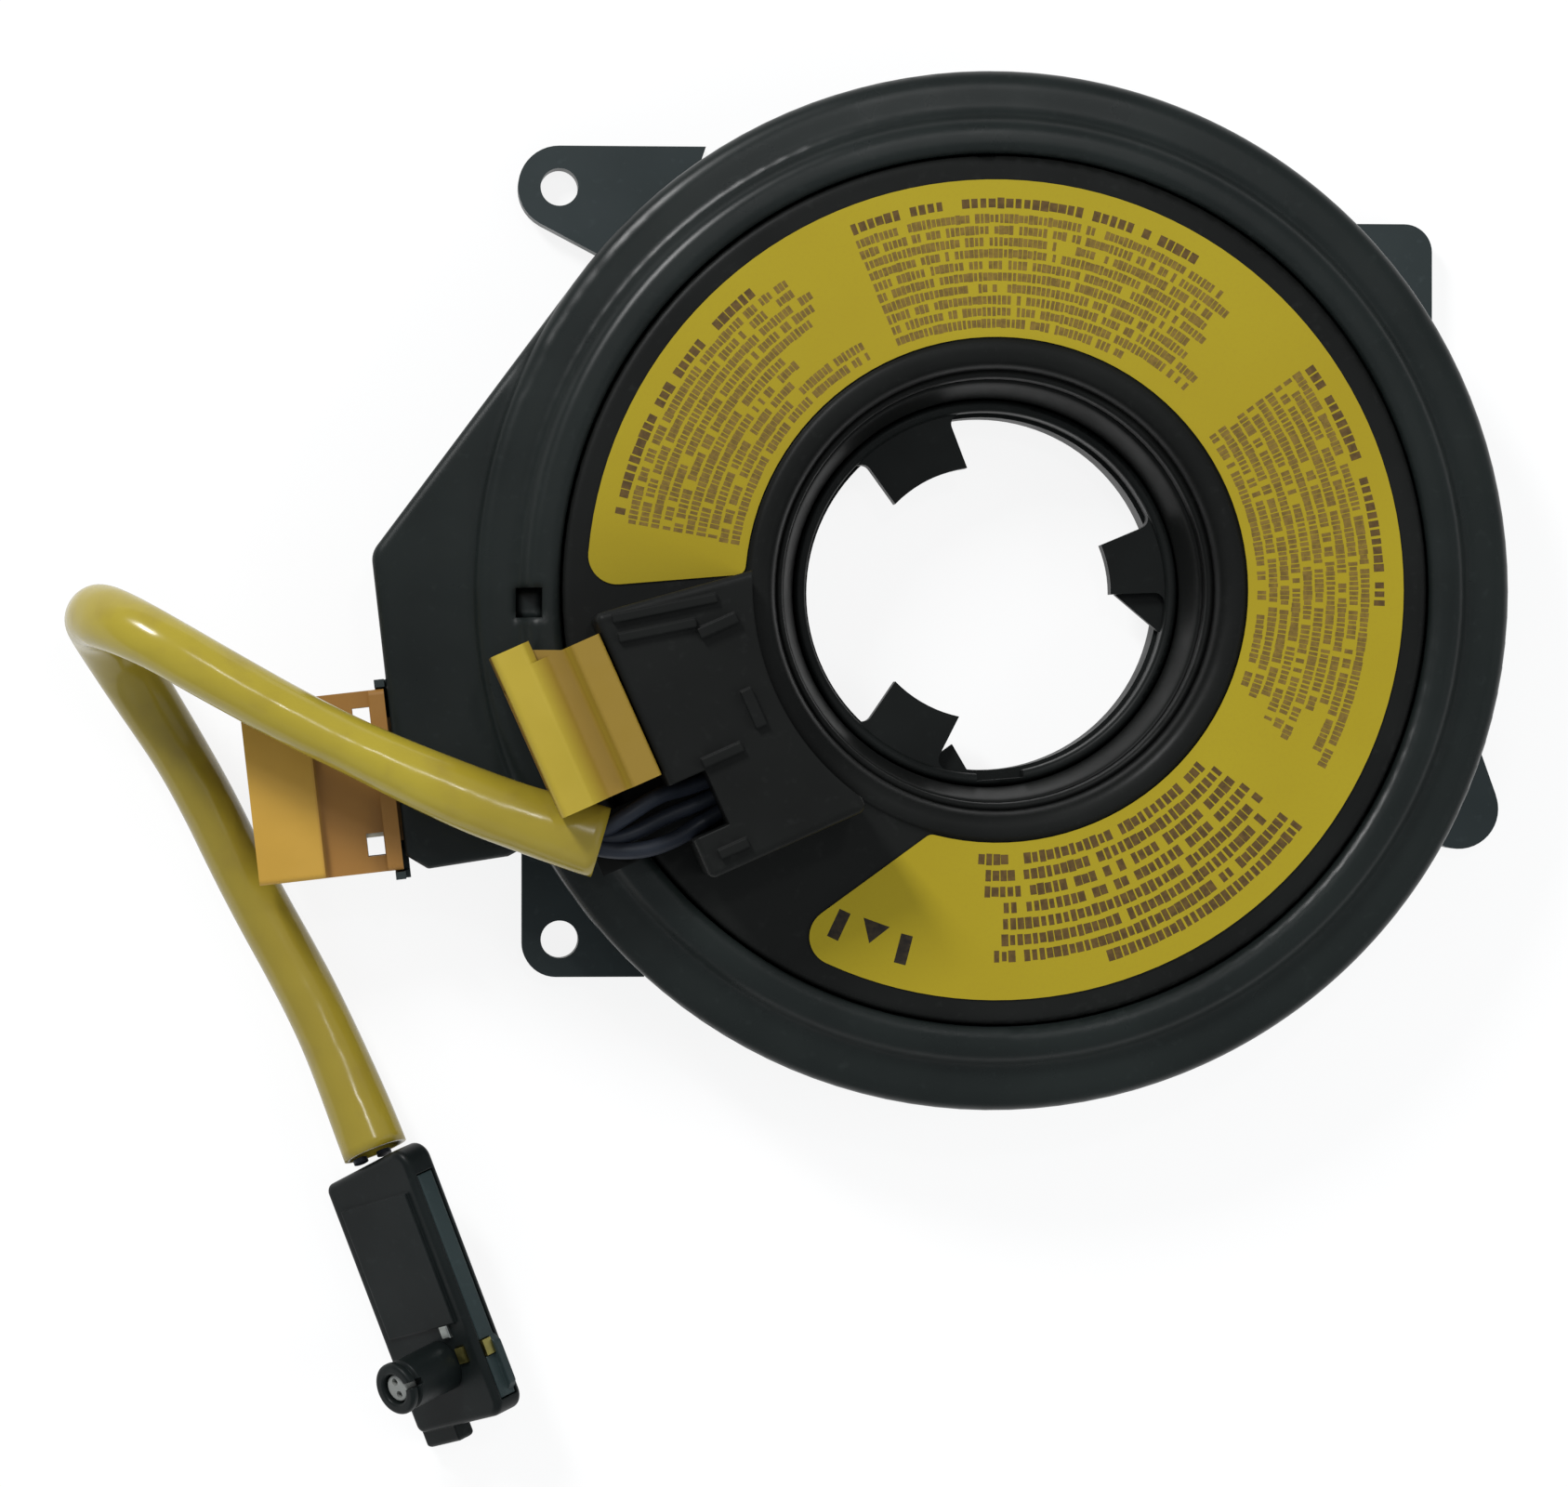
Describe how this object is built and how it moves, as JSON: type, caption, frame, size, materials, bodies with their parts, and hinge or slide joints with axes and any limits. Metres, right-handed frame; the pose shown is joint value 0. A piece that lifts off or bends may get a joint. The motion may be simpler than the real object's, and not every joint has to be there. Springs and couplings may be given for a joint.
{
  "type": "steering clock spring",
  "caption": "Round steering clock spring: fixed housing with a connector wedge, turning rotor with hub, label and switch socket, flat cable inside, and a sleeved lead with its plug.",
  "frame": {"origin": "on the hub's axis, in the plane of the housing's back face", "axes": "+Z along the hub's axis towards the steering wheel, +Y away from the airbag plug towards the upper screw ear, -X towards the connector wedge"},
  "size_m": [0.1525, 0.1451, 0.034],
  "materials": {
    "housing_black": "fine grained",
    "rotor_black": "satin",
    "hub_black": "satin",
    "label_mustard": "matt printed film",
    "socket_orange": "moulded, slightly translucent",
    "socket_yellow": "moulded, slightly translucent",
    "pin_metal": "tinned",
    "film": "clear film over copper tracks",
    "slip_film": "milky film",
    "sleeve_mustard": "satin vinyl",
    "wire_blue": "satin vinyl",
    "plug_black": "satin",
    "insert_white": "moulded",
    "ferrite": "sintered",
    "contact_gold": "plated",
    "clip_steel": "plain"
  },
  "bodies": {
    "stator": {"lower_case": "housing_black", "upper_cover": "housing_black", "slip_sheet": "slip_film", "column_socket": "socket_orange", "column_pins": "pin_metal", "outer_terminal_block": "rotor_black", "ribbon_cable": "film"},
    "rotor": {"rotor_disc": "rotor_black", "rotor_hub": "hub_black", "face_label": "label_mustard", "tower_cover": "rotor_black", "inner_terminal_block": "rotor_black", "switch_socket": "socket_yellow", "switch_pins": "pin_metal", "lead_wires": "wire_blue", "lead_sleeve": "sleeve_mustard", "plug_wires": "wire_blue", "plug_body": "plug_black", "plug_cover": "plug_black", "plug_ferrite": "ferrite", "plug_nose": "plug_black", "nose_insert": "insert_white", "plug_contacts": "contact_gold", "plug_clip": "clip_steel"}
  },
  "joints": [
    {"name": "rotor_turn", "type": "hinge", "parent": "stator", "child": "rotor", "pos_m": [0, 0, 0], "axis": [0, 0, 1], "range_deg": [-900, 900], "deforming": ["ribbon_cable"]}
  ]
}
